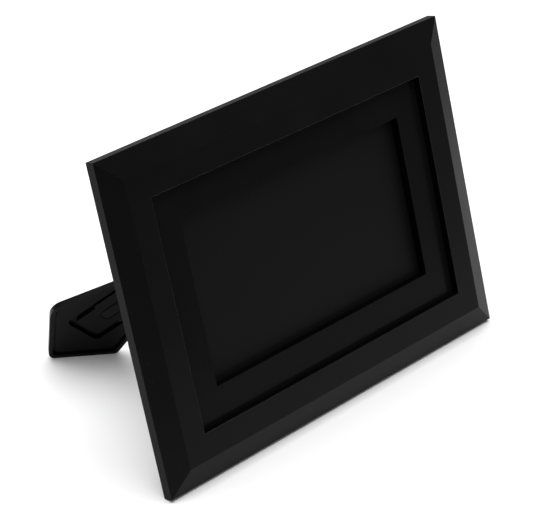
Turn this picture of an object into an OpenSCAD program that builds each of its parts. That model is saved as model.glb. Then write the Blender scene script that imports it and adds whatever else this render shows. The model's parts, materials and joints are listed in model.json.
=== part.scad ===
// Digital photo frame for the desk, standing on a diagonal folding leg.
// Every piece is drawn upright in panel axes: X to the right, Y from the front face to the back,
// Z up from the bottom edge. lean_back() then tips the whole frame onto its bottom edge and its foot.

/* [Screen and borders] */
// Width of the lit picture area
screen_w = 154.1; // [125:0.1:190]
// Height of the lit picture area
screen_h = 86.6; // [70:0.1:110]
// Width of the recessed border round the picture
mat_border = 17.1; // [14:0.1:30]
// Width of the outer rail, bevel included
rail_w = 25; // [22:0.5:40]
// Depth from the rail's flat face down to the recessed border
mat_recess = 4.3; // [3:0.1:7]
// Depth from the recessed border down to the glass
screen_recess = 5; // [4:0.1:8]

/* [Outer rail] */
// Width of the slope that runs round the outside
bevel_w = 11.8; // [6:0.1:14]
// Depth of that slope
bevel_d = 4.7; // [2:0.1:6]
// Depth of the straight outer side behind the slope
side_d = 5.3; // [4:0.1:10]
// Wall of the moulded rail
rail_wall = 2.4; // [1.6:0.1:3]

/* [Rear cover] */
// Room behind the circuit boards for the parts on them
board_room = 4.2; // [4.2:0.1:12]
// Wall of the rear cover
cover_wall = 2; // [1.5:0.1:3]
// Room at each side of the display for wiring and sockets
side_bay = 13.5; // [12.5:0.5:20]
// Room above and below the display for the screw posts
post_bay = 12; // [11:0.5:18]
// Small gap between pieces that drop into each other
fit_gap = 0.3; // [0.2:0.05:0.5]

/* [Stand] */
// Lean of the frame when it stands on its long edge
lean = 18; // [14:0.5:22]
// Lean of the frame when it stands on its short edge
portrait_lean = 17.6; // [14:0.1:22]
// How far the leg opens before its heel meets the hinge plate
leg_open = 51; // [45:0.5:56]
// Hinge centre, measured from the edge that stands down in portrait
hinge_from_side = 101.7; // [95:0.1:115]
// Hinge centre, measured from the bottom edge
hinge_from_bottom = 105.2; // [98:0.1:112]
// Thickness of the leg
leg_t = 3.4; // [3:0.1:4.2]
// Half the width of the foot at its corners
foot_half = 27.2; // [20:0.1:32]
// Half the width of the leg's shank
shank_half = 14; // [12.5:0.5:18]
// Angle at which the leg flares out to its foot
leg_flare = 18; // [12:0.5:26]
// Rounding of the foot's corners
foot_r = 4; // [2:0.5:6]
// Width of the raised rim round the leg
leg_rim = 2.2; // [1.5:0.1:3]
// Diameter of the hinge pin
pin_d = 3; // [2:0.1:3.4]
// Radius of the leg's hinge barrel
barrel_r = 3.4; // [3:0.1:4]
// Length of the leg's hinge barrel
barrel_len = 20; // [14:0.5:22]

/* [Controls] */
// Diameter of a push button
button_d = 7; // [5:0.1:8.6]
// Spacing of the push buttons
button_pitch = 11; // [10.5:0.1:12]
// Travel of a push button
button_travel = 0.6; // [0.3:0.1:0.8]
// Travel of the power slider
slider_travel = 3; // [2:0.1:3.6]

/* [Sockets] */
// Bore of the power socket
jack_bore_d = 5.7; // [5:0.1:6]
// Centre pin of the power socket
jack_pin_d = 2.1; // [1.6:0.1:2.5]
// Width of the memory card slot
card_w = 24.4; // [20:0.1:26]

/* [Hidden] */

$fn = 48;
eps = 0.01;
past = 1;

// --- outline of the whole frame ---
window_w = screen_w + 2 * mat_border;
window_h = screen_h + 2 * mat_border;
frame_w = window_w + 2 * rail_w;
frame_h = window_h + 2 * rail_w;
mid_z = frame_h / 2;
edge_d = bevel_d + side_d;

// --- layers from the front to the back ---
mat_t = 2;
mat_flange = 7;
mat_lip = 1.5;
glass_y = mat_recess + screen_recess;
glass_t = 2;
steel_t = 0.4;
backlight_t = 3.6;
module_back = glass_y + glass_t + backlight_t + steel_t;
bracket_y = module_back + 0.1;
bracket_t = 1;
board_y = bracket_y + bracket_t + 0.8;
board_t = 1.6;
board_back = board_y + board_t;
cover_in = board_back + board_room;
case_d = cover_in + cover_wall;
flange_t = 2;
flange_y = edge_d - flange_t;

// --- display module ---
module_side = 5.4;
module_end = 8.7;
module_w = screen_w + 2 * module_side;
module_h = screen_h + 2 * module_end;
lamp_r = 1;
lamp_inset = 3.2;

// --- rear cover ---
box_w = module_w + 2 * (side_bay + cover_wall);
box_h = module_h + 2 * (post_bay + cover_wall);
box_in_w = box_w - 2 * cover_wall;
box_in_h = box_h - 2 * cover_wall;
box_chamfer = 2.5;
floor_z = mid_z - box_in_h / 2;
roof_z = mid_z + box_in_h / 2;
wall_x = box_in_w / 2;

// --- screws: head radius, head height, shank radius ---
big_screw = [2.6, 1.6, 1.3];
small_screw = [1.9, 1.3, 0.9];
cover_screw_in = 14;
cover_screw_len = 7;
mat_screw_in = 4.7;
mat_screw_len = 4.6;
mat_boss_r = 2.7;
bracket_w = 12;
post_in = 4.6;
post_r = 3;
boss_r = 2.4;
screw_gap = 0.2;
bracket_screw_len = 6;
board_screw_len = 4.6;
hinge_screw_len = 5;

// --- main board, beside the hinge pocket and against the socket wall ---
board_w = 80;
board_h = 62;
board_right = wall_x - fit_gap - 0.3;
board_z = mid_z - 27.5;
hole_in = 4;
jack_z = board_z + 7;
switch_z = board_z + 17.2;
usb_z = board_z + 27;
card_z = board_z + 46;
ribbon_w = 16;
ribbon_inset = 9.65;
bracket_gap = 3;
ribbon_x = board_right - board_w + ribbon_inset;
bracket_x = ribbon_x + ribbon_w + bracket_gap + bracket_w / 2;
card_slot_d = 28;
card_slot_t = 2.8;
card_t = 2.4;
jack_body = [12, 7, 9];
jack_y = module_back + fit_gap + 3.2;
usb_body = [9.2, 3.9, 7.7];
usb_wall = 0.5;
switch_body = [4, 3.6, 9.4];
slider_stem = [2.4, 2];

// Each chip's place from the socket end and from the bottom, then its width, height, thickness
chips = [
    [56, 33, 20, 20, 1.4], [56, 13, 18, 8, 1.1], [37, 13, 10, 6, 1.1], [56, 52, 20, 10, 1.1],
    [18, 19, 8, 8, 1.4], [72, 44, 8, 14, 1.8]
];
capacitor_x = [70, 75];
capacitor_z = 30;
capacitor_r = 1.9;
capacitor_h = 3.2;

// --- button board, on the other side of the cover ---
button_count = 6;
button_x = -(wall_x - 12);
button_top_z = roof_z - 6.5;
button_proud = 1.2;
button_flange_t = 1;
button_flange_r = button_d / 2 + 0.9;
boss_clear = 0.77;
button_hole_x = sqrt(pow(boss_r + button_flange_r + boss_clear, 2) - pow(button_pitch / 2, 2));
button_board_w = 2 * (button_hole_x + 2.8);
switch_h = 2;
well_r = 2;
stem_r = well_r - fit_gap;

// --- inverter for the display's lamp ---
inverter_w = 56;
inverter_h = 13;
inverter_x = -10;
inverter_z = floor_z + 9;

// --- speakers ---
speaker_r = 14;
speaker_d = 4.6;
speaker_x = wall_x - speaker_r - 6.5;
speaker_z = floor_z + speaker_r + 2.5;

// --- wall hanging ---
keyhole_x = 66;
keyhole_z = roof_z - 14;
keyhole_r = 4;
keyhole_slot_r = 2;
keyhole_rise = 7;

// --- hinge ---
diagonal = 45;
hinge_plate_t = 1.2;
hinge_gap = 0.4;
pocket_d = 3;
pocket_wall = 1.6;
plate_w = 40;
plate_h = 20;
ear_t = 1.6;
pin_gap = 0.05;
axis_up = barrel_r + hinge_gap;
hinge_y = case_d - pocket_d + hinge_plate_t + axis_up;
hinge_x = -frame_w / 2 + hinge_from_side;
hinge_z = hinge_from_bottom;
hinge_screw_x = 16.2;
hinge_screw_z = 6;

// --- leg: the table lies along one straight edge of the foot in each stance ---
// The direction "up" seen by the open leg; side is -1 on the long edge and 1 on the short edge.
function up_in_leg(side, tilt) = [
    side * cos(tilt) * sin(diagonal),
    cos(tilt) * sin(diagonal) * sin(leg_open) - sin(tilt) * cos(leg_open),
    cos(tilt) * sin(diagonal) * cos(leg_open) + sin(tilt) * sin(leg_open)
];
function hinge_rise(from_edge, tilt) = from_edge * cos(tilt) - (hinge_y - edge_d) * sin(tilt);
// The foot's edge on the leg's inner face, as [height at x = 0, slope]
function foot_edge(up, rise) = [-(rise - up[1] * leg_t / 2) / up[2], -up[0] / up[2]];
long_edge = foot_edge(up_in_leg(-1, lean), hinge_rise(hinge_from_bottom, lean));
short_edge = foot_edge(up_in_leg(1, portrait_lean), hinge_rise(hinge_from_side, portrait_lean));
tip_x = (short_edge[0] - long_edge[0]) / (long_edge[1] - short_edge[1]);
tip = [tip_x, long_edge[0] + long_edge[1] * tip_x];
right_corner = [foot_half, long_edge[0] + long_edge[1] * foot_half];
flare_slope = tan(leg_flare);
left_corner_x = (flare_slope * (short_edge[0] - right_corner[1]) - foot_half)
    / (1 - flare_slope * short_edge[1]);
left_corner = [left_corner_x, short_edge[0] + short_edge[1] * left_corner_x];
flare_top = right_corner[1] + (foot_half - shank_half) / flare_slope;
neck_z = -barrel_r - 3;
neck_end = neck_z - 5;
heel_z = (axis_up - fit_gap - leg_t / 2 * cos(leg_open)) / sin(leg_open);
leg_outline = [
    tip, right_corner, [shank_half, flare_top], [shank_half, neck_end], [barrel_len / 2, neck_z],
    [barrel_len / 2, 0], [-barrel_len / 2, 0], [-barrel_len / 2, neck_z],
    [-shank_half, neck_end], [-shank_half, flare_top], left_corner
];
shoulder_r = 10.5;
leg_radii = [foot_r, foot_r, 6, 2, 1, 0, 0, 1, 2, 6, shoulder_r];
tray_d = 1;
groove_d = leg_t - 0.5;
groove_w = 3.4;
plateau_half = 8.2;
plateau_wide = 9.8;
groove_half = plateau_wide + groove_w / 2;
moat_d = 0.9;
moat_w = 1.2;
moat_land = 1;
moat_top_z = flare_top
    - max(0, groove_half + moat_land + leg_rim + moat_w - shank_half) / flare_slope;
plateau_end_z = tip[1] + 29.5;
plateau_step_z = tip[1] + 44;
plateau_top_z = -16;
strip_half = 3;
strip_t = 0.6;
strip_end_z = tip[1] + 41.5;
strip_start_z = plateau_top_z - 1.5;
strip_end_r = strip_half - 0.1;
strip_gap = 0.6;
strip_floor = tray_d + 0.5;
rivet_head_r = 1.9;
rivet_head_t = 0.5;
rivet_r = 1;
rivets_z = [strip_start_z - 4, strip_end_z + 12];

// --- where the leaning frame sits over its footprint ---
front_y = min(bevel_w * sin(lean), bevel_d * cos(lean));
foot_back = [
    -sin(diagonal) * sin(lean),
    cos(leg_open) * cos(lean) + cos(diagonal) * sin(leg_open) * sin(lean),
    cos(diagonal) * cos(leg_open) * sin(lean) - sin(leg_open) * cos(lean)
];
tip_centre = arc_centre(right_corner, tip, left_corner, foot_r);
back_y = hinge_y * cos(lean) + hinge_z * sin(lean) + foot_back[1] * leg_t / 2
    + foot_back[0] * tip_centre[0] + foot_back[2] * tip_centre[1]
    + foot_r * norm([foot_back[0], foot_back[2]]);

// --- outlines with rounded corners ---
function unit(v) = v / norm(v);
function arc_centre(a, b, c, r) = let (
    u = unit(a - b),
    w = unit(c - b),
    half = acos(u * w) / 2
) b + unit(u + w) * r / sin(half);
function corner_arc(a, b, c, r, steps = 8) = let (
    centre = arc_centre(a, b, c, r),
    reach = norm(centre - b) * cos(acos(unit(a - b) * unit(c - b)) / 2),
    first = b + unit(a - b) * reach - centre,
    turn = sign(cross(b - a, c - b)) * (180 - acos(unit(a - b) * unit(c - b))),
    start = atan2(first[1], first[0])
) [for (i = [0:steps]) centre + r * [cos(start + turn * i / steps), sin(start + turn * i / steps)]];
function rounded(points, radii) = let (n = len(points)) [
    for (i = [0:n - 1]) each radii[i] == 0 ? [points[i]]
        : corner_arc(points[(i + n - 1) % n], points[i], points[(i + 1) % n], radii[i])
];
// Moves every side of a counter-clockwise outline inwards by d
function inset(points, d) = let (n = len(points)) [
    for (i = [0:n - 1]) let (
        e = unit(points[i] - points[(i + n - 1) % n]),
        f = unit(points[(i + 1) % n] - points[i]),
        p = [-e[1], e[0]],
        q = [-f[1], f[0]]
    ) points[i] + d * (p + q) / (1 + p * q)
];

// --- placing ---
module lean_back() {
    translate([0, -(front_y + back_y) / 2, edge_d * sin(lean)]) rotate([-lean, 0, 0]) children();
}
module to_hinge() {
    translate([hinge_x, hinge_y, hinge_z]) rotate([0, diagonal, 0]) children();
}
module at_hinge() {
    lean_back() to_hinge() children();
}
module on_leg() {
    at_hinge() rotate([leg_open, 0, 0]) children();
}

// --- building blocks ---
// A block centred on the panel, w wide and h high, from depth y0 to depth y1
module slab(w, h, y0, y1) {
    translate([-w / 2, y0, mid_z - h / 2]) cube([w, y1 - y0, h]);
}
// The same with all four outer edges sloped off at the end of depth y0
module sloped_slab(w, h, y0, y1, slope_w, slope_d) {
    intersection() {
        translate([0, 0, mid_z - h / 2]) linear_extrude(h) polygon([
            [-w / 2 + slope_w, y0], [w / 2 - slope_w, y0], [w / 2, y0 + slope_d],
            [w / 2, y1], [-w / 2, y1], [-w / 2, y0 + slope_d]
        ]);
        translate([-w / 2, 0, mid_z]) rotate([90, 0, 90]) linear_extrude(w) polygon([
            [y0, -h / 2 + slope_w], [y0, h / 2 - slope_w], [y0 + slope_d, h / 2],
            [y1, h / 2], [y1, -h / 2], [y0 + slope_d, -h / 2]
        ]);
    }
}
// A round rod from depth y0 to depth y1
module post(r, y0, y1) {
    translate([0, y0, 0]) rotate([-90, 0, 0]) cylinder(h = y1 - y0, r = r);
}
// A screw whose head ends at the origin and whose shank runs towards -Y
module screw(size, length) {
    post(size[0], -size[1], 0);
    post(size[2], -size[1] - length, -size[1] + eps);
}
module cross_recess(size) {
    for (turn = [0, 90]) rotate([0, turn, 0])
        translate([-size[0] * 0.55, -size[1] * 0.6, -0.3]) cube([size[0] * 1.1, past, 0.6]);
}
module driven_screw(size, length) {
    difference() {
        screw(size, length);
        cross_recess(size);
    }
}
module at_cover_screws() {
    for (x = [-1, 0, 1], z = [-1, 1])
        translate([x * (frame_w / 2 - cover_screw_in), 0, mid_z + z * (mid_z - cover_screw_in)])
            children();
}
module at_mat_screws() {
    for (x = [-1, 0, 1], z = [-1, 1])
        translate([x * (window_w / 2 - 6), 0, mid_z + z * (window_h / 2 + mat_screw_in)]) children();
}
module at_bracket_posts(sides) {
    for (x = sides, z = [-1, 1])
        translate([x * bracket_x, 0, mid_z + z * (module_h / 2 + post_in)]) children();
}
module at_main_holes() {
    for (x = [board_right - board_w + hole_in, board_right - card_slot_d - 6],
        z = [hole_in, board_h - hole_in])
        translate([x, 0, board_z + z]) children();
}
module at_button_holes() {
    for (z = [0.5, button_count - 1.5])
        translate([button_x + button_hole_x, 0, button_top_z - z * button_pitch]) children();
}
module at_inverter_holes() {
    for (x = [-1, 1]) translate([inverter_x + x * (inverter_w / 2 - 3), 0, inverter_z]) children();
}
module at_boards() {
    at_main_holes() children();
    at_button_holes() children();
    at_inverter_holes() children();
}
module at_hinge_screws() {
    for (x = [-1, 1], z = [-1, 1]) translate([x * hinge_screw_x, 0, z * hinge_screw_z]) children();
}
module at_rivets() {
    for (z = rivets_z) translate([0, 0, z]) children();
}
module at_button(number) {
    translate([button_x, 0, button_top_z - number * button_pitch]) children();
}

// --- front of the frame ---
module front_frame() {
    color("#181818") lean_back() difference() {
        union() {
            difference() {
                sloped_slab(frame_w, frame_h, 0, edge_d, bevel_w, bevel_d);
                difference() {
                    sloped_slab(frame_w - 2 * rail_wall, frame_h - 2 * rail_wall, rail_wall,
                        edge_d + past, bevel_w, bevel_d);
                    slab(window_w + 2 * rail_wall, window_h + 2 * rail_wall, -past, mat_recess);
                }
            }
            at_cover_screws() post(3.5, rail_wall - eps, flange_y);
            at_mat_screws() post(mat_boss_r, rail_wall - eps, mat_recess);
        }
        slab(window_w, window_h, -past, edge_d);
        at_cover_screws() post(big_screw[2], rail_wall, flange_y + past);
        at_mat_screws() post(small_screw[2], 1.2, mat_recess + past);
    }
}

module mat_bezel() {
    post_top = bracket_y;
    color("#0c0c0d") lean_back() difference() {
        union() {
            slab(window_w + 2 * mat_flange, window_h + 2 * mat_flange, mat_recess, mat_recess + mat_t);
            slab(screen_w + 2 * mat_lip, screen_h + 2 * mat_lip, mat_recess, glass_y - fit_gap);
            at_bracket_posts([-1, 1]) post(post_r, mat_recess + mat_t - eps, post_top);
        }
        slab(screen_w, screen_h, -past, glass_y);
        at_mat_screws() post(small_screw[2] + screw_gap, mat_recess - past, mat_recess + mat_t + past);
        at_bracket_posts([-1, 1]) post(small_screw[2], mat_recess + mat_t, post_top + past);
    }
}

module mat_screws() {
    color("silver") lean_back() at_mat_screws()
        translate([0, mat_recess + mat_t + small_screw[1], 0])
            driven_screw(small_screw, mat_screw_len);
}

// --- display ---
module lcd_panel() {
    ledge = 5;
    color("#1c1c1e") lean_back() {
        slab(module_w - 4 * steel_t, module_h - 4 * steel_t, glass_y + glass_t / 2, glass_y + glass_t);
        translate([0, 0, ledge / 2])
            slab(module_w - 4 * steel_t, module_h - 4 * steel_t - ledge, glass_y, glass_y + glass_t / 2);
    }
}

module lcd_frame() {
    color("#b8babd") lean_back() difference() {
        slab(module_w, module_h, glass_y - steel_t, module_back);
        slab(module_w - 2 * steel_t, module_h - 2 * steel_t, glass_y, module_back + past);
        slab(screen_w + 2 * (mat_lip + fit_gap), screen_h + 2 * (mat_lip + fit_gap), 0, glass_y + past);
        translate([ribbon_x - fit_gap, glass_y + glass_t, mid_z - module_h / 2 - past])
            cube([ribbon_w + 2 * fit_gap, 0.7, 2 * past]);
    }
}

module backlight_unit() {
    tray_y = glass_y + glass_t + eps;
    back_rim = [6, 7];
    channel = 2.8;
    channel_end = 3;
    color("#eeeeea") lean_back() difference() {
        slab(module_w - 4 * steel_t, module_h - 4 * steel_t, tray_y, module_back);
        slab(module_w - 2 * back_rim[0], module_h - 2 * back_rim[1], tray_y + backlight_t - 0.8,
            module_back + past);
        translate([-module_w / 2 + channel_end, (tray_y + module_back - channel) / 2,
            mid_z - module_h / 2 + lamp_inset - channel / 2])
            cube([module_w - 2 * channel_end, channel, channel]);
    }
}

module backlight_lamp() {
    color("#f4f6ff") lean_back()
        translate([-module_w / 2 + 4, (glass_y + glass_t + module_back) / 2,
            mid_z - module_h / 2 + lamp_inset])
            rotate([0, 90, 0]) cylinder(h = module_w - 8, r = lamp_r);
}

module lcd_bracket(side) {
    foot = post_in + 4;
    hole_r = 2.5;
    hole_step = module_h / 3.4;
    back = bracket_y + bracket_t;
    color("#c4c6c9") lean_back() difference() {
        translate([side * bracket_x, 0, 0]) slab(bracket_w, module_h + 2 * foot, bracket_y, back);
        at_bracket_posts([side]) post(small_screw[2] + screw_gap, bracket_y - past, back + past);
        for (i = [-1, 0, 1]) translate([side * bracket_x, 0, mid_z + i * hole_step])
            post(hole_r, bracket_y - past, back + past);
    }
}
module lcd_bracket_left() { lcd_bracket(-1); }
module lcd_bracket_right() { lcd_bracket(1); }

module bracket_screws() {
    color("silver") lean_back() at_bracket_posts([-1, 1])
        translate([0, bracket_y + bracket_t + small_screw[1], 0])
            driven_screw(small_screw, bracket_screw_len);
}

module lcd_ribbon() {
    tape = 0.25;
    out = 1.6;
    top = mid_z - module_h / 2;
    near = glass_y + glass_t + 0.2;
    far = module_back + 0.15;
    rise = board_z - top + 2;
    color("#b0651f") lean_back() translate([ribbon_x, 0, top]) rotate([90, 0, 90])
        linear_extrude(ribbon_w) polygon([
            [near, steel_t], [near, -out], [far + tape, -out], [far + tape, rise],
            [board_y, rise + 2], [board_y, rise + 6], [board_y - tape, rise + 6],
            [board_y - tape, rise + 2], [far, rise], [far, -out + tape],
            [near + tape, -out + tape], [near + tape, steel_t]
        ]);
}

// --- electronics ---
module main_board() {
    color("#1f6b3a") lean_back() difference() {
        translate([board_right - board_w, board_y, board_z]) cube([board_w, board_t, board_h]);
        at_main_holes() post(small_screw[2] + screw_gap, board_y - past, board_back + past);
        translate([board_right - jack_body[0] - fit_gap, board_y - past,
            jack_z - jack_body[2] / 2 - fit_gap])
            cube([jack_body[0] + past + fit_gap, board_t + 2 * past, jack_body[2] + 2 * fit_gap]);
    }
}

module main_chips() {
    color("#202124") lean_back() {
        for (chip = chips) translate([board_right - chip[0] - chip[2] / 2, board_back,
            board_z + chip[1] - chip[3] / 2]) cube([chip[2], chip[4], chip[3]]);
        for (x = capacitor_x) translate([board_right - x, 0, board_z + capacitor_z])
            post(capacitor_r, board_back, board_back + capacitor_h);
    }
}

module board_screws() {
    color("silver") lean_back() at_boards()
        translate([0, board_y - small_screw[1], 0]) mirror([0, 1, 0])
            driven_screw(small_screw, board_screw_len);
}

module inverter_board() {
    color("#1f6b3a") lean_back() difference() {
        translate([inverter_x - inverter_w / 2, board_y, inverter_z - inverter_h / 2])
            cube([inverter_w, board_t, inverter_h]);
        at_inverter_holes() post(small_screw[2] + screw_gap, board_y - past, board_back + past);
    }
}

module inverter_transformer() {
    core = [18, 3.2, 8];
    cheek_w = 2.4;
    coil = [core[0] - 2 * cheek_w + 0.2, 2.8, 6.4];
    color("#d8b23c") lean_back() translate([inverter_x, board_back, inverter_z]) {
        for (x = [-core[0] / 2, core[0] / 2 - cheek_w])
            translate([x, 0, -core[2] / 2]) cube([cheek_w, core[1], core[2]]);
        translate([-coil[0] / 2, (core[1] - coil[1]) / 2, -coil[2] / 2]) cube(coil);
    }
}

module button_board() {
    color("#1f6b3a") lean_back() difference() {
        translate([button_x - button_board_w / 2, board_y,
            button_top_z - (button_count - 1) * button_pitch - 5])
            cube([button_board_w, board_t, (button_count - 1) * button_pitch + 10]);
        at_button_holes() post(small_screw[2] + screw_gap, board_y - past, board_back + past);
    }
}

module button_switches() {
    color("#d0d2d4") lean_back() for (i = [0:button_count - 1]) at_button(i) difference() {
        translate([-3, board_back, -3]) cube([6, switch_h, 6]);
        post(well_r, board_back + 0.4, board_back + switch_h + past);
    }
}

module button_ribbon() {
    tape = 0.25;
    pad = 4;
    left = button_x + button_board_w / 2 - pad;
    right = board_right - board_w + pad;
    y = bracket_y + bracket_t + 0.15;
    color("#e8e6df") lean_back() translate([0, y, button_top_z - 3.5 * button_pitch]) {
        translate([left, 0, 0]) cube([right - left, tape, 8]);
        for (x = [left, right - pad]) translate([x, tape / 2, 0]) cube([pad, board_y - y - tape / 2, 8]);
    }
}

module card_slot() {
    x0 = board_right - card_slot_d;
    outer = card_w + 2.4;
    color("#c9cbce") lean_back() difference() {
        translate([x0, board_back, card_z - outer / 2]) cube([card_slot_d, card_slot_t, outer]);
        translate([x0 + 3, board_back + 0.2, card_z - card_w / 2]) cube([card_slot_d, card_t, card_w]);
    }
}

module usb_socket() {
    color("#c9cbce") lean_back() difference() {
        translate([board_right - usb_body[0], board_back, usb_z - usb_body[2] / 2]) cube(usb_body);
        translate([board_right - usb_body[0] + past, board_back + usb_wall,
            usb_z - usb_body[2] / 2 + usb_wall])
            cube([usb_body[0], usb_body[1] - 2 * usb_wall, usb_body[2] - 2 * usb_wall]);
    }
    color("#1a1a1a") lean_back()
        translate([board_right - usb_body[0] + 0.5, board_back + usb_body[1] / 2 - 0.4, usb_z - 2.2])
            cube([usb_body[0] - 2, 0.8, 4.4]);
}

module dc_jack() {
    color("#1b1b1d") lean_back() translate([board_right - jack_body[0], jack_y, jack_z]) {
        difference() {
            translate([0, -jack_body[1] / 2, -jack_body[2] / 2]) cube(jack_body);
            translate([2.5, 0, 0]) rotate([0, 90, 0]) cylinder(h = jack_body[0], d = jack_bore_d);
        }
        translate([past, 0, 0]) rotate([0, 90, 0]) cylinder(h = jack_body[0] - 2, d = jack_pin_d);
    }
}

module power_switch() {
    x0 = board_right - switch_body[0];
    gap = 0.35;
    color("#d0d2d4") lean_back() difference() {
        translate([x0, board_back, switch_z - switch_body[2] / 2]) cube(switch_body);
        translate([x0 + 1, board_back + switch_body[1] / 2 - slider_stem[0] / 2 - gap,
            switch_z - slider_travel / 2 - slider_stem[1] / 2 - gap])
            cube([switch_body[0], slider_stem[0] + 2 * gap, slider_travel + slider_stem[1] + 2 * gap]);
    }
}

module power_slider() {
    stem_x = board_right - switch_body[0] + 1.4;
    y = board_back + switch_body[1] / 2;
    z = switch_z - slider_travel / 2;
    outer_x = box_w / 2;
    color("#141414") lean_back() {
        translate([stem_x, y - slider_stem[0] / 2, z - slider_stem[1] / 2])
            cube([outer_x - stem_x + 1.2, slider_stem[0], slider_stem[1]]);
        for (rib = [-0.8, 0, 0.8])
            translate([outer_x + 1.19, y - slider_stem[0] / 2, z + rib - 0.2])
                cube([0.35, slider_stem[0], 0.4]);
    }
}

module speaker(side) {
    color("#2a2a2c") lean_back() translate([side * speaker_x, 0, speaker_z]) {
        difference() {
            post(speaker_r, cover_in - speaker_d, cover_in - 0.6);
            post(speaker_r - 1.2, cover_in - 2, cover_in);
        }
        translate([0, cover_in - 2 - eps, 0]) rotate([-90, 0, 0])
            cylinder(h = 0.9, r1 = speaker_r - 2.4, r2 = 5);
        post(7.5, cover_in - speaker_d - 1.4, cover_in - speaker_d + eps);
    }
}
module speaker_left() { speaker(-1); }
module speaker_right() { speaker(1); }

// --- rear cover ---
module keyhole() {
    post(keyhole_r, cover_in - past, case_d + past);
    translate([0, 0, keyhole_rise]) post(keyhole_slot_r, cover_in - past, case_d + past);
    translate([-keyhole_slot_r, cover_in - past, 0])
        cube([2 * keyhole_slot_r, cover_wall + 2 * past, keyhole_rise]);
}

module speaker_grille() {
    hole_r = 1;
    hole_step = 3.4;
    post(hole_r, cover_in - past, case_d + past);
    for (ring = [1:3], i = [0:6 * ring - 1]) rotate([0, i * 60 / ring, 0])
        translate([ring * hole_step, 0, 0]) post(hole_r, cover_in - past, case_d + past);
}

module vents() {
    slot_w = 1.8;
    slot_h = 14;
    slot_step = 5.4;
    first_x = board_right - board_w + 12;
    for (i = [0:5]) translate([first_x + i * slot_step, cover_in - past, roof_z - 30])
        cube([slot_w, cover_wall + 2 * past, slot_h]);
}

module hinge_pocket(grow, depth) {
    translate([-plate_w / 2 - grow, case_d - hinge_y - depth, -plate_h / 2 - grow])
        cube([plate_w + 2 * grow, depth + past, plate_h + 2 * grow]);
}

module socket_openings() {
    x0 = wall_x - past;
    deep = cover_wall + 2 * past;
    translate([x0, board_back + card_slot_t / 2 - 1.5, card_z - card_w / 2 - 0.4])
        cube([deep, 3, card_w + 0.8]);
    translate([x0, board_back - 0.3, usb_z - usb_body[2] / 2 - 0.3])
        cube([deep, usb_body[1] + 0.4, usb_body[2] + 0.6]);
    translate([x0, jack_y, jack_z]) rotate([0, 90, 0]) cylinder(h = deep, r = jack_bore_d / 2 + 0.6);
    translate([x0, board_back + switch_body[1] / 2 - slider_stem[0] / 2 - 0.4,
        switch_z - slider_travel / 2 - slider_stem[1] / 2 - 0.4])
        cube([deep, slider_stem[0] + 0.8, slider_travel + slider_stem[1] + 0.8]);
}

module rear_cover() {
    flange_gap = rail_wall + fit_gap;
    boss_end = case_d - pocket_d - cover_wall - 3;
    seat_wall = 1.2;
    color("#161616") lean_back() difference() {
        union() {
            difference() {
                union() {
                    slab(frame_w - 2 * flange_gap, frame_h - 2 * flange_gap, flange_y, edge_d);
                    mirror_depth(flange_y + case_d)
                        sloped_slab(box_w, box_h, flange_y, case_d, box_chamfer, box_chamfer);
                }
                mirror_depth(flange_y - past + cover_in)
                    sloped_slab(box_in_w, box_in_h, flange_y - past, cover_in, box_chamfer / 2,
                        box_chamfer / 2);
            }
            intersection() {
                to_hinge() hinge_pocket(pocket_wall, pocket_d + cover_wall);
                slab(box_w - eps, box_h - eps, flange_y, case_d - eps);
            }
            at_boards() post(boss_r, board_back, cover_in + eps);
            to_hinge() at_hinge_screws()
                post(boss_r, boss_end - hinge_y, case_d - pocket_d - cover_wall / 2 - hinge_y);
            for (side = [-1, 1]) translate([side * speaker_x, 0, speaker_z]) difference() {
                post(speaker_r + fit_gap + seat_wall, cover_in - 2.5, cover_in + eps);
                post(speaker_r + fit_gap, cover_in - 3, cover_in + past);
            }
        }
        to_hinge() hinge_pocket(fit_gap, pocket_d);
        to_hinge() at_hinge_screws()
            post(small_screw[2], boss_end - hinge_y + 0.5, case_d - hinge_y + past);
        at_boards() post(small_screw[2], board_back - past, cover_in - 0.4);
        for (side = [-1, 1]) {
            translate([side * keyhole_x, 0, keyhole_z]) keyhole();
            translate([side * speaker_x, 0, speaker_z]) speaker_grille();
        }
        vents();
        for (i = [0:button_count - 1]) at_button(i)
            post(button_d / 2 + fit_gap, cover_in - past, case_d + past);
        socket_openings();
        at_cover_screws() post(big_screw[2] + screw_gap, flange_y - past, edge_d + past);
        at_mat_screws() post(small_screw[0] + fit_gap, flange_y - past,
            mat_recess + mat_t + small_screw[1] + fit_gap);
    }
}
// Turns a shape round in depth about the plane halfway to sum
module mirror_depth(sum) {
    translate([0, sum, 0]) mirror([0, 1, 0]) children();
}

module cover_screws() {
    color("#3a3a3c") lean_back() at_cover_screws() translate([0, edge_d + big_screw[1], 0])
        driven_screw(big_screw, cover_screw_len);
}

// --- push buttons and their captive flanges ---
module push_button(number) {
    r = button_d / 2;
    top = case_d + button_proud;
    flange_top = cover_in - fit_gap;
    edge = 0.5;
    stem_end = board_back + switch_h - 0.5;
    color("#232325") lean_back() at_button(number) rotate([-90, 0, 0]) rotate_extrude() polygon([
        [0, stem_end], [stem_r, stem_end], [stem_r, flange_top - button_flange_t],
        [button_flange_r, flange_top - button_flange_t], [button_flange_r, flange_top],
        [r, flange_top], [r, top - edge], [r - edge, top], [0, top]
    ]);
}
module button_menu() { push_button(0); }
module button_up() { push_button(1); }
module button_down() { push_button(2); }
module button_left() { push_button(3); }
module button_right() { push_button(4); }
module button_enter() { push_button(5); }

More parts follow.
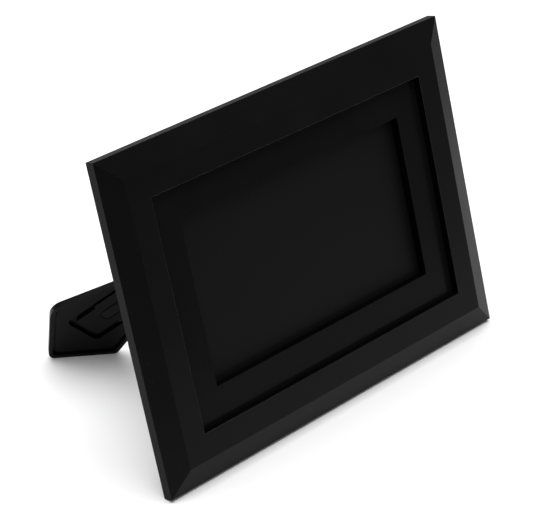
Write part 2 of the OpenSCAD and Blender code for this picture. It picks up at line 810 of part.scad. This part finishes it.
// --- hinge ---
module hinge_plate() {
    ear_x = barrel_len / 2 + fit_gap;
    ear_foot = 6.5;
    color("#a9abae") at_hinge() difference() {
        union() {
            translate([-plate_w / 2, -axis_up - hinge_plate_t, -plate_h / 2])
                cube([plate_w, hinge_plate_t, plate_h]);
            for (x = [-ear_x - ear_t, ear_x]) translate([x, 0, 0]) {
                rotate([90, 0, 90]) linear_extrude(ear_t) polygon([
                    [-axis_up - eps, -ear_foot], [0, -barrel_r], [0, barrel_r],
                    [-axis_up - eps, ear_foot]
                ]);
                rotate([0, 90, 0]) cylinder(h = ear_t, r = barrel_r);
            }
        }
        translate([-plate_w / 2, 0, 0]) rotate([0, 90, 0]) cylinder(h = plate_w, d = pin_d + 0.02);
        at_hinge_screws() post(small_screw[2] + screw_gap, -axis_up - hinge_plate_t - past, -axis_up + past);
    }
}

module hinge_screws() {
    color("silver") at_hinge() at_hinge_screws() translate([0, -axis_up + small_screw[1], 0])
        driven_screw(small_screw, hinge_screw_len);
}

module hinge_pin() {
    half = barrel_len / 2 + fit_gap + ear_t;
    head = 0.8;
    head_r = pin_d / 2 + 0.7;
    color("#cfd1d4") at_hinge() rotate([0, 90, 0]) rotate_extrude() polygon([
        [0, -half - head], [head_r, -half - head], [head_r, -half], [pin_d / 2, -half],
        [pin_d / 2, half + head], [0, half + head]
    ]);
}

// --- leg ---
// A flat outline in the leg's plane, from depth y0 to depth y1
module leg_sheet(points, y0, y1) {
    translate([0, y1, 0]) rotate([90, 0, 0]) linear_extrude(y1 - y0) polygon(points);
}
// The strip's outline, or that of its seat when it is grown
function strip_edge(grow) = rounded([
    [-strip_half - grow, strip_end_z - grow], [strip_half + grow, strip_end_z - grow],
    [strip_half + grow, strip_start_z + grow], [-strip_half - grow, strip_start_z + grow]
], [strip_end_r + grow, strip_end_r + grow, 0, 0]);
// The recessed part of the leg, this far inside its outline
function tray_edge(border) = rounded(inset([
    tip, right_corner, [shank_half, flare_top], [shank_half, plateau_top_z + 2],
    [-shank_half, plateau_top_z + 2], [-shank_half, flare_top], left_corner
], border), [2, 2, 4, 1, 1, 4, shoulder_r - border]);
module stand_leg() {
    inner = -leg_t / 2;
    far = plateau_end_z - groove_w;
    side = 2 * foot_half;
    moat_reach = [[-side, tip[1]], [side, tip[1]], [side, moat_top_z], [-side, moat_top_z]];
    plateau = [
        [-plateau_half, plateau_end_z], [plateau_half, plateau_end_z],
        [plateau_half, plateau_step_z], [plateau_wide, plateau_step_z],
        [plateau_wide, plateau_top_z], [-plateau_wide, plateau_top_z],
        [-plateau_wide, plateau_step_z], [-plateau_half, plateau_step_z]
    ];
    groove = [
        [-groove_half, far], [groove_half, far], [groove_half, plateau_top_z + eps],
        [-groove_half, plateau_top_z + eps]
    ];
    color("#151516") on_leg() difference() {
        union() {
            difference() {
                leg_sheet(rounded(leg_outline, leg_radii), inner, leg_t / 2);
                leg_sheet(tray_edge(leg_rim), inner - past, inner + tray_d);
                intersection() {
                    leg_sheet(moat_reach, inner - past, inner + tray_d + moat_d);
                    difference() {
                        leg_sheet(tray_edge(leg_rim), inner - past, leg_t);
                        leg_sheet(tray_edge(leg_rim + moat_w), inner - 2 * past, 2 * leg_t);
                    }
                }
                leg_sheet(strip_edge(strip_gap), inner - past, inner + strip_floor);
                difference() {
                    leg_sheet(rounded(groove, [3, 3, 0, 0]), inner - past, inner + groove_d);
                    leg_sheet(rounded(plateau, [2, 2, 0.5, 0.5, 0, 0, 0.5, 0.5]), inner - 2 * past,
                        leg_t);
                }
            }
            translate([-barrel_len / 2, 0, 0]) rotate([0, 90, 0])
                cylinder(h = barrel_len, r = barrel_r);
            translate([-barrel_len / 2, inner, 0]) cube([barrel_len, leg_t / 2, heel_z]);
        }
        translate([-barrel_len / 2 - past, 0, 0]) rotate([0, 90, 0])
            cylinder(h = barrel_len + 2 * past, r = pin_d / 2 + pin_gap);
        at_rivets() post(rivet_r, inner - past, leg_t);
    }
}

// A steel strip let into the leg's channel, which keeps the thin leg from bending
module leg_strip() {
    inner = -leg_t / 2;
    color("#2a2b2d") on_leg() difference() {
        leg_sheet(strip_edge(0), inner + strip_floor - strip_t, inner + strip_floor);
        at_rivets() post(rivet_r, inner - past, leg_t);
    }
}

module strip_rivets() {
    inner = -leg_t / 2;
    seat = inner + strip_floor - strip_t;
    color("#3a3b3d") on_leg() at_rivets() {
        post(rivet_head_r, seat - rivet_head_t, seat);
        post(rivet_r, seat - eps, leg_t / 2);
    }
}

front_frame();
mat_bezel();
mat_screws();
lcd_panel();
lcd_frame();
backlight_unit();
backlight_lamp();
lcd_bracket_left();
lcd_bracket_right();
bracket_screws();
lcd_ribbon();
main_board();
main_chips();
board_screws();
inverter_board();
inverter_transformer();
button_board();
button_switches();
button_ribbon();
card_slot();
usb_socket();
dc_jack();
power_switch();
power_slider();
speaker_left();
speaker_right();
rear_cover();
cover_screws();
hinge_plate();
hinge_screws();
hinge_pin();
stand_leg();
leg_strip();
strip_rivets();
button_menu();
button_up();
button_down();
button_left();
button_right();
button_enter();
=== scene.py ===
# %% [markdown]
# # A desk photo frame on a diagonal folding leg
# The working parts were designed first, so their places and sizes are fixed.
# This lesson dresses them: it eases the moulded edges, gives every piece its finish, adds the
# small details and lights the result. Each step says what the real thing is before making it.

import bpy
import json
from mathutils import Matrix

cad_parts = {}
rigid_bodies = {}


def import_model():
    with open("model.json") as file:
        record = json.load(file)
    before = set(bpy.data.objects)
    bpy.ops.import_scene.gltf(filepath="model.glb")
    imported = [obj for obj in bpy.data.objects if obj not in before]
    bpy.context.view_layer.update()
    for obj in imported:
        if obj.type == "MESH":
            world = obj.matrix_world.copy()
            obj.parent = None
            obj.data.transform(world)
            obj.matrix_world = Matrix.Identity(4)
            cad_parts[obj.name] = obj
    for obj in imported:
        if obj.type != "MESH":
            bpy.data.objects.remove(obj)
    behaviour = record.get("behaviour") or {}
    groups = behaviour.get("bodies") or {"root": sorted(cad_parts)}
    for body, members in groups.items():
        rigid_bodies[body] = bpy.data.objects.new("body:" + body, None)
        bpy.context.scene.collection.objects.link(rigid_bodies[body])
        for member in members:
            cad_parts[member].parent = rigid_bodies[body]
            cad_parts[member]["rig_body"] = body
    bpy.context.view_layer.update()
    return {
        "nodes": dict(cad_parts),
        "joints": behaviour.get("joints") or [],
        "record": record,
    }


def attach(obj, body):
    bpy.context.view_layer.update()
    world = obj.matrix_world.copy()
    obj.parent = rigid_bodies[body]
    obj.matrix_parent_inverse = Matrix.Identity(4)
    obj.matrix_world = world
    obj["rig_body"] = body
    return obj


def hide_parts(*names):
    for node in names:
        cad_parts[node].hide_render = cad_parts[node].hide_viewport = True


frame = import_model()

# %% Tools used all through
import json
import math

import bmesh
import bpy
from mathutils import Matrix, Quaternion, Vector

MM = 0.001
DUST = (0.035, 0.035, 0.036)
scene = bpy.context.scene
print("one millimetre is", MM, "of Blender's metres")

# %% [markdown]
# ## The camera
# A long lens from about a metre away, above and to the left, keeps the rails nearly parallel.
# The camera aims along a line from the eye to a point beside the middle of the front. A small
# roll about that line is added last, because aiming alone always keeps the camera level.

# %% Set the camera
EYE = Vector((-0.7082, -0.6915, 0.6465))
AIM = Vector((-0.0171, -0.0353, 0.0768))
ROLL = math.radians(1.67)
lens_data = bpy.data.cameras.new("camera")
lens_data.sensor_width = 36
lens_data.lens = 145.74
camera = bpy.data.objects.new("camera", lens_data)
scene.collection.objects.link(camera)
camera.location = EYE
camera.rotation_mode = "QUATERNION"
camera.rotation_quaternion = (AIM - EYE).to_track_quat("-Z", "Y") @ Quaternion((0, 0, 1), ROLL)
scene.camera = camera
print("camera is", round((AIM - EYE).length, 3), "m from its target")

# %% [markdown]
# ## Measuring in the frame's own directions
# The frame leans back on its leg, so its flat faces are not level. The moving controls tell us
# its directions: the slider travels along the frame's height, and a button travels straight
# into its back. With those two directions any part can be measured as if it stood upright.

# %% Find the leaning directions
travel = {joint["name"]: Vector(joint["axis"]).normalized() for joint in frame["joints"]}
ACROSS = Vector((1, 0, 0))
UP = travel["power_slide"]
INWARD = travel["button_menu_press"]
BACK = -INWARD
LEAN = Matrix((ACROSS, BACK, UP)).transposed()
print("the frame leans back by", round(math.degrees(math.acos(UP.z)), 2), "degrees")


# %% Measure a part along those directions
def upright_box(node):
    """Lowest and highest reach of a part across, in depth and in height, in metres."""
    reach = [LEAN.transposed() @ v.co for v in frame["nodes"][node].data.vertices]
    low = Vector([min(p[i] for p in reach) for i in range(3)])
    high = Vector([max(p[i] for p in reach) for i in range(3)])
    return low, high


rail_low, rail_high = upright_box("front_frame")
screen_low, screen_high = upright_box("lcd_panel")
for label, low, high in (("rail", rail_low, rail_high), ("screen", screen_low, screen_high)):
    print(label, "is", [round(v / MM, 1) for v in high - low], "mm")

# %% [markdown]
# ## Finishes
# A finish is a small network of nodes. Real moulded plastic is never one flat value: it has a
# fine grain from the mould, patches that are a little glossier where it has been handled, and
# edges smoothed by wear. The grain is made as a bump, the patches as a change in roughness, and
# the smoother edges from a mark that the edge-easing step leaves on each face; the same mark
# paints those edges paler, partly wear and partly a painted highlight.


# %% Helpers that build a finish
def new_finish(name):
    """An empty node finish with its main shader, and the point being shaded."""
    finish = bpy.data.materials.new(name)
    finish.use_nodes = True
    nodes = finish.node_tree.nodes
    shader = nodes["Principled BSDF"]
    where = nodes.new("ShaderNodeTexCoord").outputs["Object"]
    return finish, nodes, finish.node_tree.links, shader, where


def speckle(nodes, links, where, size, detail=2.0, stretch=(1, 1, 1)):
    """Soft random cells about this size in metres, longer along a stretched direction."""
    mapping = nodes.new("ShaderNodeMapping")
    mapping.inputs["Scale"].default_value = [1 / s for s in stretch]
    noise = nodes.new("ShaderNodeTexNoise")
    noise.inputs["Scale"].default_value = 1 / size
    noise.inputs["Detail"].default_value = detail
    links.new(where, mapping.inputs["Vector"])
    links.new(mapping.outputs["Vector"], noise.inputs["Vector"])
    return noise.outputs["Fac"]


def spread(nodes, links, value, low, high):
    """Turns a random value into one between low and high."""
    span = nodes.new("ShaderNodeMapRange")
    span.inputs["From Min"].default_value = 0.3
    span.inputs["From Max"].default_value = 0.7
    span.inputs["To Min"].default_value = low
    span.inputs["To Max"].default_value = high
    links.new(value, span.inputs["Value"])
    return span.outputs["Result"]


def blend_colours(nodes, links, amount, first, second):
    """Mixes two colours by an amount from another node; each may be a colour or a socket."""
    mix = nodes.new("ShaderNodeMix")
    mix.data_type = "RGBA"
    links.new(amount, mix.inputs["Factor"])
    for socket, colour in ((mix.inputs[6], first), (mix.inputs[7], second)):
        if isinstance(colour, bpy.types.NodeSocket):
            links.new(colour, socket)
        else:
            socket.default_value = (*colour, 1)
    return mix.outputs[2]


def raise_grain(nodes, links, shader, height, depth, strength=0.6):
    """Bumps the surface by a random height, depth metres from lowest to highest."""
    bump = nodes.new("ShaderNodeBump")
    bump.inputs["Distance"].default_value = depth
    bump.inputs["Strength"].default_value = strength
    links.new(height, bump.inputs["Height"])
    links.new(bump.outputs["Normal"], shader.inputs["Normal"])


print("finish helpers ready")


# %% [markdown]
# ## Moulded plastic
# Four things make plain plastic look handled: a slight change of shade over a few centimetres,
# edges smoothed by wear and painted paler, partly wear and partly a painted highlight, a bump for
# the mould's grain, and a few specks of dust. Each is one branch of the network, and they meet at
# the colour, the roughness and the normal.

# %% Dust and moulded plastic
def dust_specks(nodes, links, where, share):
    """Tiny pale specks, in about this share of the cells that they could lie in."""
    cell = 3.5 * MM
    cells = nodes.new("ShaderNodeTexVoronoi")
    cells.inputs["Scale"].default_value = 1 / cell
    links.new(where, cells.inputs["Vector"])
    near = nodes.new("ShaderNodeMapRange")
    near.inputs["From Min"].default_value = 0.07
    near.inputs["From Max"].default_value = 0.03
    links.new(cells.outputs["Distance"], near.inputs["Value"])
    chosen = nodes.new("ShaderNodeSeparateColor")
    links.new(cells.outputs["Color"], chosen.inputs["Color"])
    rare = nodes.new("ShaderNodeMath")
    rare.operation = "LESS_THAN"
    rare.inputs[1].default_value = share
    links.new(chosen.outputs["Red"], rare.inputs[0])
    both = nodes.new("ShaderNodeMath")
    both.operation = "MULTIPLY"
    links.new(near.outputs["Result"], both.inputs[0])
    links.new(rare.outputs[0], both.inputs[1])
    return both.outputs[0]


def moulded_plastic(name, colour, rough, grain, depth, wear_highlight_gain=0.5, specular=0.5, dust=0.2):
    """Black or coloured moulding: mould grain, handled patches, edges smoothed by wear and painted
    paler as a painted highlight, and a little dust.
    Grain and depth are the width and height of the mould's grain in metres."""
    finish, nodes, links, shader, where = new_finish(name)
    fine = speckle(nodes, links, where, grain, 3)
    patches = speckle(nodes, links, where, 30 * MM, 4)
    darker, lighter = [c * 0.8 for c in colour], [c * 1.2 for c in colour]
    shade = blend_colours(nodes, links, patches, darker, lighter)
    edge = nodes.new("ShaderNodeAttribute")
    edge.attribute_name = "eased"
    wear_highlight_mask = nodes.new("ShaderNodeMath")
    wear_highlight_mask.operation = "MULTIPLY"
    links.new(edge.outputs["Fac"], wear_highlight_mask.inputs[0])
    broken = speckle(nodes, links, where, 4 * MM, 3)
    links.new(spread(nodes, links, broken, 0.2, 1.0), wear_highlight_mask.inputs[1])
    # The edge band is painted paler here: partly wear, partly a painted highlight along the edges.
    pale = [c * (1 + wear_highlight_gain) + 0.004 for c in colour]
    clean = blend_colours(nodes, links, wear_highlight_mask.outputs[0], shade, pale)
    specks = dust_specks(nodes, links, where, dust)
    links.new(blend_colours(nodes, links, specks, clean, DUST), shader.inputs["Base Color"])
    gloss = nodes.new("ShaderNodeMath")
    gloss.operation = "MULTIPLY_ADD"
    links.new(wear_highlight_mask.outputs[0], gloss.inputs[0])
    gloss.inputs[1].default_value = -0.12
    links.new(spread(nodes, links, patches, rough - 0.03, rough + 0.04), gloss.inputs[2])
    links.new(gloss.outputs[0], shader.inputs["Roughness"])
    shader.inputs["Specular IOR Level"].default_value = specular
    raise_grain(nodes, links, shader, fine, depth)
    return finish


def grey(value, blue=None):
    """A grey, slightly bluer or yellower where a last value is given."""
    return (value, value, value if blue is None else blue)


print("plastic helpers ready")

# %% [markdown]
# ## One finish for each material
# The black pieces reflect very little by themselves: their base colour is close to nothing and
# the mirror part is weak, so their tone comes from the bright floor and the dim sky. That is
# why a slope that faces the floor looks grey while the flat beside it stays black.

# %% Make the plastics
FINISHES = {
    "black_rail": moulded_plastic("satin_black_rail", grey(0.0024), 0.3, 0.35 * MM, 0.006 * MM,
                                  specular=0.077),
    "black_mat": moulded_plastic("half_gloss_black_mat", grey(0.0047), 0.2, 0.6 * MM, 0.002 * MM,
                                 specular=0.036),
    "cover_plastic": moulded_plastic("spark_grained_cover", grey(0.012, 0.0124), 0.46,
                                     0.45 * MM, 0.03 * MM, specular=0.3),
    # The leg's edge band is painted much paler: a painted highlight along its rims, with some wear.
    "leg_plastic": moulded_plastic("satin_black_leg", grey(0.0015), 0.32, 0.4 * MM, 0.01 * MM,
                                   wear_highlight_gain=2.5, specular=0.085),
    "black_screw": moulded_plastic("blackened_steel", grey(0.0019), 0.32, 0.2 * MM, 0.006 * MM,
                                   specular=0.1),
    "button_plastic": moulded_plastic("grey_button_cap", grey(0.03, 0.032), 0.38,
                                      0.3 * MM, 0.01 * MM),
    "white_plastic": moulded_plastic("white_reflector", grey(0.8, 0.78), 0.4, 0.5 * MM, 0.01 * MM),
    "chip_black": moulded_plastic("chip_epoxy", grey(0.02, 0.022), 0.5, 0.15 * MM, 0.01 * MM),
    "speaker_black": moulded_plastic("speaker_paper", grey(0.02, 0.021), 0.7, 0.8 * MM, 0.06 * MM),
    "ribbon_white": moulded_plastic("flat_cable", (0.72, 0.71, 0.67), 0.5, 1.2 * MM, 0.02 * MM),
    "ribbon_amber": moulded_plastic("amber_film", (0.42, 0.16, 0.03), 0.25, 1.5 * MM, 0.01 * MM),
    "tape_yellow": moulded_plastic("winding_tape", (0.7, 0.48, 0.07), 0.3, 2.0 * MM, 0.02 * MM),
    "circuit_board": moulded_plastic("solder_mask", (0.02, 0.16, 0.06), 0.35, 0.9 * MM, 0.015 * MM),
}
# A darker black for the walls of the recess: painted shade.
recess_wall_shade = moulded_plastic("recess_wall_painted_shade", grey(0.001), 0.4, 0.3 * MM, 0.004 * MM,
                           specular=0.04, dust=0)
# The lip is smoother and painted paler than the rail: the paler colour is a painted highlight.
lip_highlight_finish = moulded_plastic("polished_lip_painted_highlight", grey(0.006), 0.16, 0.35 * MM, 0.001 * MM, dust=0)
print("plastics made:", len(FINISHES))


# %% [markdown]
# ## Metals
# Sheet steel is rolled, so its marks are long streaks in one direction. A turned screw head or a
# plated pin is finer. Both come from the same random cells, stretched along the rolling.

# %% Rolled and plated metal
def rolled_metal(name, colour, rough, streak, depth):
    """Metal with long rolling marks across the frame and faint darker stains."""
    finish, nodes, links, shader, where = new_finish(name)
    lines = speckle(nodes, links, where, streak, 3, (30, 1, 1))
    stains = speckle(nodes, links, where, 8 * MM, 4)
    dull = [c * 0.72 for c in colour]
    links.new(blend_colours(nodes, links, stains, dull, colour), shader.inputs["Base Color"])
    links.new(spread(nodes, links, lines, rough - 0.06, rough + 0.1), shader.inputs["Roughness"])
    shader.inputs["Metallic"].default_value = 1.0
    raise_grain(nodes, links, shader, lines, depth, 0.4)
    return finish


FINISHES["screw_steel"] = rolled_metal(
    "zinc_plated_screw", (0.55, 0.56, 0.58), 0.3, 0.12 * MM, 0.006 * MM)
FINISHES["sheet_steel"] = rolled_metal(
    "tinned_sheet", (0.6, 0.61, 0.62), 0.3, 0.2 * MM, 0.008 * MM)
FINISHES["hinge_steel"] = rolled_metal(
    "nickel_plated_hinge", (0.42, 0.43, 0.44), 0.26, 0.15 * MM, 0.006 * MM)
print("metals made, finishes so far:", len(FINISHES))

# %% [markdown]
# ## Screen and lamp glass
# The screen is switched off. Its front is a polarising film with a fine anti-glare etch, which
# spreads every reflection into an even dark grey, so it looks lighter than the glossy border.
# The lamp behind it is a thin glass tube coated inside with white phosphor.

# %% Anti-glare film and coated glass
screen_finish, nodes, links, shader, where = new_finish("anti_glare_film")
etch = speckle(nodes, links, where, 0.09 * MM, 2)
wipe = speckle(nodes, links, where, 50 * MM, 3, (1, 3, 1))
film_shade = blend_colours(nodes, links, wipe, (0.0045, 0.0045, 0.0047), (0.0052, 0.0052, 0.0054))
specks = dust_specks(nodes, links, where, 0.12)
links.new(blend_colours(nodes, links, specks, film_shade, DUST), shader.inputs["Base Color"])
links.new(spread(nodes, links, wipe, 0.42, 0.5), shader.inputs["Roughness"])
shader.inputs["Specular IOR Level"].default_value = 0.052
raise_grain(nodes, links, shader, etch, 0.004 * MM)
FINISHES["screen_glass"] = screen_finish

lamp_finish, nodes, links, shader, where = new_finish("phosphor_glass")
coat = speckle(nodes, links, where, 0.7 * MM, 3)
phosphor = blend_colours(nodes, links, coat, (0.86, 0.88, 0.93), (0.95, 0.96, 1.0))
links.new(phosphor, shader.inputs["Base Color"])
links.new(spread(nodes, links, coat, 0.1, 0.2), shader.inputs["Roughness"])
shader.inputs["Coat Weight"].default_value = 0.6
FINISHES["lamp_glass"] = lamp_finish
print("finishes made for", len(FINISHES), "slots")

# %% Give every fixed part its finish
slot_of = {part["node"]: part["material_slot"] for part in frame["record"]["subparts"]}
for node, part in frame["nodes"].items():
    for place in part.material_slots:
        place.material = FINISHES[slot_of[node]]
print("finishes assigned to", len(slot_of), "parts")

# %% [markdown]
# ## Eased edges
# No moulded edge is razor sharp: the mould leaves a radius of two or three tenths of a
# millimetre, and that narrow band is what catches the light. Each visible part is copied, its
# flat faces are joined up again, and a Bevel modifier rounds every edge. The modifier can put
# the new band in a material slot of its own, which is then turned into a mark named "eased"
# that the plastic finish reads. Weighted normals keep the broad faces looking truly flat.
# The widths in the list of pieces behind the rail are in millimetres.


# %% Copy a part with eased edges
def eased_copy(node, name, width, sharpest=30, steps=2, rounder=None):
    """Copies a fixed part, rounds its edges and lets the copy stand for it.
    Edges that the test rounder picks are rounded twice as wide as the rest."""
    source = frame["nodes"][node]
    shape = bmesh.new()
    shape.from_mesh(source.data)
    bmesh.ops.remove_doubles(shape, verts=shape.verts, dist=0.002 * MM)
    bmesh.ops.dissolve_limit(shape, angle_limit=math.radians(0.6),
                             verts=shape.verts, edges=shape.edges)
    weight = shape.edges.layers.float.new("bevel_weight_edge")
    for edge in shape.edges:
        if len(edge.link_faces) == 2 and edge.calc_face_angle() > math.radians(sharpest):
            edge[weight] = 1.0 if rounder and rounder(edge) else 0.5
    mesh = bpy.data.meshes.new(name)
    shape.to_mesh(mesh)
    shape.free()
    piece = bpy.data.objects.new(name, mesh)
    scene.collection.objects.link(piece)
    finish = FINISHES[slot_of[node]]
    mesh.materials.append(finish)
    mesh.materials.append(finish)
    mesh.polygons.foreach_set("material_index", [0] * len(mesh.polygons))
    easing = piece.modifiers.new("easing", "BEVEL")
    easing.width = 2 * width
    easing.segments = steps
    easing.limit_method = "WEIGHT"
    easing.material = 1
    easing.use_clamp_overlap = True
    return settle(piece, node)


def settle(piece, node):
    """Applies the easing, marks its band, smooths the shading and puts the piece on its body."""
    graph = bpy.context.evaluated_depsgraph_get()
    done = bpy.data.meshes.new_from_object(piece.evaluated_get(graph))
    piece.modifiers.clear()
    piece.data = done
    mark = done.attributes.new("eased", "FLOAT", "FACE")
    band = [0] * len(done.polygons)
    done.polygons.foreach_get("material_index", band)
    mark.data.foreach_set("value", [float(b) for b in band])
    done.polygons.foreach_set("material_index", [0] * len(band))
    done.polygons.foreach_set("use_smooth", [True] * len(band))
    done.materials.pop(index=1)
    normals = piece.modifiers.new("flat faces", "WEIGHTED_NORMAL")
    normals.keep_sharp = False
    normals.weight = 90
    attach(piece, frame["nodes"][node]["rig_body"])
    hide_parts(node)
    print(piece.name, "faces", len(band), "eased faces", sum(band))
    return piece


def window_rim(edge):
    """True for an edge between the rail's flat front and a wall that drops straight back."""
    at_front = all(abs(v.co @ BACK - rail_low.y) < 0.01 * MM for v in edge.verts)
    return at_front and any(abs(face.normal @ BACK) < 0.01 for face in edge.link_faces)


front_rail = eased_copy("front_frame", "front_rail", 0.25 * MM, sharpest=12, steps=3,
                        rounder=window_rim)
mat_border = eased_copy("mat_bezel", "mat_border", 0.25 * MM)

PIECES_BEHIND = (
    ("rear_cover", "back_cover", 0.25), ("stand_leg", "folding_leg", 0.3),
    ("leg_strip", "spring_strip", 0.12), ("strip_rivets", "strip_pins", 0.15),
    ("hinge_plate", "hinge_base", 0.15), ("hinge_pin", "hinge_rod", 0.2),
    ("power_slider", "slider_knob", 0.1), ("cover_screws", "screws_in_cover", 0.15),
    ("hinge_screws", "screws_in_hinge", 0.12),
)
for node, name, width in PIECES_BEHIND:
    eased_copy(node, name, width * MM)
for key in ("menu", "up", "down", "left", "right", "enter"):
    eased_copy("button_" + key, "cap_" + key, 0.35 * MM, steps=3)

# %% [markdown]
# ## The polished lip of the window and its painted highlight
# The two halves of a mould meet along the lip of the window. The thin flash left there is
# scraped away, which burnishes a line hardly half a millimetre wide. It is smoother than the
# rail, so from a low angle it mirrors the bright floor as a fine light line. Its colour is also
# painted paler than the rail's, a painted highlight that strengthens that line.

# %% Polish the lip and paint its highlight
RAIL_WIDTH = 25 * MM
LIP_REACH = 0.8 * MM
HALF_SIDEWAYS = math.cos(math.radians(60))


def past_rail(centre):
    """How far a point lies past the inner side of the rail, and how far behind its flat front."""
    point = LEAN.transposed() @ centre
    from_side = min(min(point[i] - rail_low[i], rail_high[i] - point[i]) for i in (0, 2))
    return from_side - RAIL_WIDTH, point.y - rail_low.y


def refinish(piece, finish, chosen):
    """Gives the chosen faces of a piece a finish of their own."""
    faces = [face for face in piece.data.polygons if chosen(face)]
    piece.data.materials.append(finish)
    for face in faces:
        face.material_index = len(piece.data.materials) - 1
    print(finish.name, "covers", len(faces), "faces of", piece.name)


def on_lip(face):
    """True for the rounded lip, level with the flat front and one rail width in."""
    past, behind = past_rail(face.center)
    return abs(past) < LIP_REACH and behind < LIP_REACH


rail_eased = front_rail.data.attributes["eased"].data
refinish(front_rail, lip_highlight_finish, lambda face: rail_eased[face.index].value > 0 and on_lip(face))

# %% [markdown]
# ## The walls of the two steps
# The narrow walls that drop from the rail to the border and from the border to the glass are
# given a darker black than the lacquered faces: painted shade for the dark recess they look
# into, so they read as clean black lines round the screen.

# %% Darken the walls with painted shade
def is_wall(face):
    """True for a face that runs straight back or nearly so."""
    return abs(face.normal @ BACK) < HALF_SIDEWAYS


def is_window_wall(face):
    """True for a wall of the rail's window, behind its rounded lip."""
    beside_window = abs(past_rail(face.center)[0]) < LIP_REACH
    return is_wall(face) and beside_window and not on_lip(face)


refinish(front_rail, recess_wall_shade, is_window_wall)
refinish(mat_border, recess_wall_shade, is_wall)

# %% [markdown]
# ## Floor and light
# A product is usually set on white paper under a large soft light, so that its shadow fades out
# and its black faces take their tone from what they reflect. The paper ends a little way in
# front of the frame and lies on a darker table: the lower part of each face mirrors the paper
# and the upper part mirrors the table, which is what keeps the black deep. The main light is a
# wide panel overhead, and a dim even sky fills the rest.

# %% Lay the floor
def lay_sheet(name, near_left, far_right, height, pale):
    """A flat sheet on the stage between two opposite corners, with a faintly mottled finish."""
    (left, front), (right, back) = near_left, far_right
    outline = ((left, front), (right, front), (right, back), (left, back))
    sheet_mesh = bpy.data.meshes.new(name)
    sheet_mesh.from_pydata([(x, y, height) for x, y in outline], [], [(0, 1, 2, 3)])
    sheet = bpy.data.objects.new(name, sheet_mesh)
    scene.collection.objects.link(sheet)
    finish, nodes, links, shader, where = new_finish(name + "_finish")
    mottle = speckle(nodes, links, where, 50 * MM, 4)
    shade = blend_colours(nodes, links, mottle, (pale * 0.98,) * 3, (pale,) * 3)
    links.new(shade, shader.inputs["Base Color"])
    shader.inputs["Roughness"].default_value = 0.8
    shader.inputs["Specular IOR Level"].default_value = 0.1
    sheet_mesh.materials.append(finish)
    print(name, "covers", round(right - left, 2), "by", round(back - front, 2), "m")


PAPER_THICKNESS = 0.5 * MM
lay_sheet("white_paper", (-1.2, -0.41), (0.5, 1.6), 0, 0.9)
lay_sheet("pale_table", (-5, -5), (5, 5), -PAPER_THICKNESS, 0.42)


# %% Hang the lights
def soft_panel(name, place, target, width, power):
    """A square softbox that faces its target."""
    panel = bpy.data.lights.new(name, "AREA")
    panel.shape = "SQUARE"
    panel.size = width
    panel.energy = power
    holder = bpy.data.objects.new(name, panel)
    scene.collection.objects.link(holder)
    holder.location = place
    holder.rotation_euler = (Vector(target) - Vector(place)).to_track_quat("-Z", "Y").to_euler()
    print(name, "gives", power, "W")


soft_panel("main_panel", (0.0, 0.15, 1.9), (0, 0, 0), 2.6, 63)

SKY_STRENGTH = 0.4
sky = bpy.data.worlds.new("studio")
sky.use_nodes = True
background = sky.node_tree.nodes["Background"].inputs
background["Color"].default_value = (1, 1, 1, 1)
background["Strength"].default_value = SKY_STRENGTH
scene.world = sky
scene.view_settings.view_transform = "Standard"
print("sky strength", SKY_STRENGTH)
